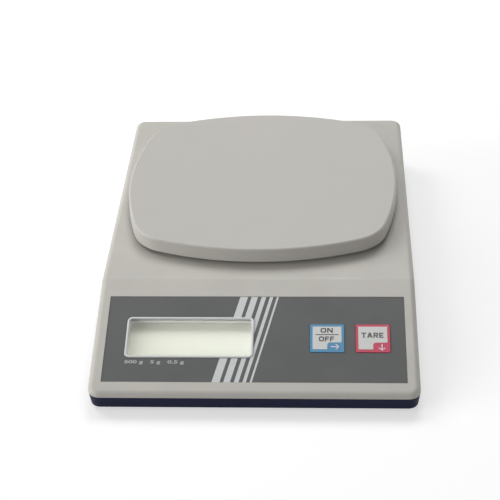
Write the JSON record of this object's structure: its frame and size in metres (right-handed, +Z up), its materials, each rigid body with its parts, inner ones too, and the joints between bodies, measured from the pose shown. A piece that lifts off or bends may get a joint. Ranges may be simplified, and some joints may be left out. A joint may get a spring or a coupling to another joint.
{
  "type": "precision scale",
  "caption": "Low bench scale: grey shell on a dark blue base, sloping front panel with a recessed display and keys, and a lift-off plate with bowed sides.",
  "frame": {"origin": "on the table, under the middle of the housing", "axes": "+X to the user's right, +Y from the sloping panel to the rear, +Z up"},
  "size_m": [0.17, 0.244, 0.0435],
  "materials": {
    "housing_grey": "light warm-grey moulded plastic, fine spark texture",
    "base_blue": "dark navy moulded plastic, fine spark texture",
    "plate_grey": "light warm-grey moulded plastic, satin",
    "overlay_print": "printed sheet, satin, dark grey with light stripes",
    "on_off_print": "printed key face with a blue border",
    "tare_print": "printed key face with a crimson border",
    "window_clear": "clear moulded pane, polished",
    "display_face": "reflective display glass, pale green-grey",
    "holder_white": "white moulded plastic",
    "contact_rubber": "layered conductive rubber",
    "board_green": "green solder mask over glass fibre laminate",
    "chip_black": "moulded chip bodies",
    "connector_white": "natural nylon",
    "screw_steel": "zinc plated",
    "switch_black": "black moulded switch body",
    "plunger_grey": "grey moulded pin",
    "cell_aluminium": "milled, clear anodised",
    "gauge_silicone": "white silicone coat",
    "carrier_cast": "die cast, as cast",
    "bumper_rubber": "soft black rubber",
    "battery_jacket": "plain dark metal jacket",
    "snap_black": "black moulded clip",
    "lead_red": "insulated copper lead, red jacket",
    "lead_black": "insulated copper leads, black jacket",
    "cable_grey": "screened signal cable, grey jacket",
    "socket_black": "black moulded socket",
    "foot_rubber": "black rubber"
  },
  "bodies": {
    "housing": {"lower_housing": "base_blue", "upper_housing": "housing_grey", "control_overlay": "overlay_print", "display_window": "window_clear", "display_glass": "display_face", "display_holder": "holder_white", "display_strips": "contact_rubber", "main_board": "board_green", "board_chips": "chip_black", "board_connectors": "connector_white", "board_screws": "screw_steel", "on_off_switch": "switch_black", "tare_switch": "switch_black", "load_cell": "cell_aluminium", "gauge_covers": "gauge_silicone", "cell_spacer": "cell_aluminium", "cell_screws": "screw_steel", "overload_screw": "screw_steel", "overload_nut": "screw_steel", "battery": "battery_jacket", "battery_snap": "snap_black", "battery_leads": "lead_red", "power_socket": "socket_black", "socket_leads": "lead_black", "cell_cable": "cable_grey", "housing_screws": "screw_steel", "foot_front_left": "foot_rubber", "foot_front_right": "foot_rubber", "foot_rear_left": "foot_rubber", "foot_rear_right": "foot_rubber"},
    "load_carrier": {"load_carrier": "carrier_cast", "carrier_spacer": "cell_aluminium", "carrier_screws": "screw_steel", "bumper_front_left": "bumper_rubber", "bumper_front_right": "bumper_rubber", "bumper_rear_left": "bumper_rubber", "bumper_rear_right": "bumper_rubber"},
    "weighing_plate": {"weighing_plate": "plate_grey"},
    "on_off_key": {"on_off_key": "on_off_print", "on_off_plunger": "plunger_grey"},
    "tare_key": {"tare_key": "tare_print", "tare_plunger": "plunger_grey"},
    "battery_cover": {"battery_cover": "base_blue"}
  },
  "joints": [
    {"name": "carrier_load_travel", "type": "slide", "parent": "housing", "child": "load_carrier", "axis": [0, 0, -1], "range_m": [0, 0.0004], "stiffness_N_per_m": 15000, "springref_m": -0.0003, "deforming": ["load_cell"]},
    {"name": "plate_lift", "type": "slide", "parent": "load_carrier", "child": "weighing_plate", "axis": [0, 0, 1], "range_m": [0, 0.03]},
    {"name": "on_off_press", "type": "slide", "parent": "housing", "child": "on_off_key", "axis": [0, 0.2815, -0.9596], "range_m": [0, 0.0004], "stiffness_N_per_m": 3000, "springref_m": -0.0002},
    {"name": "tare_press", "type": "slide", "parent": "housing", "child": "tare_key", "axis": [0, 0.2815, -0.9596], "range_m": [0, 0.0004], "stiffness_N_per_m": 3000, "springref_m": -0.0002},
    {"name": "battery_cover_tilt", "type": "hinge", "parent": "housing", "child": "battery_cover", "pos_m": [0, -0.019, 0.0022], "axis": [1, 0, 0], "range_deg": [0, 75]}
  ]
}
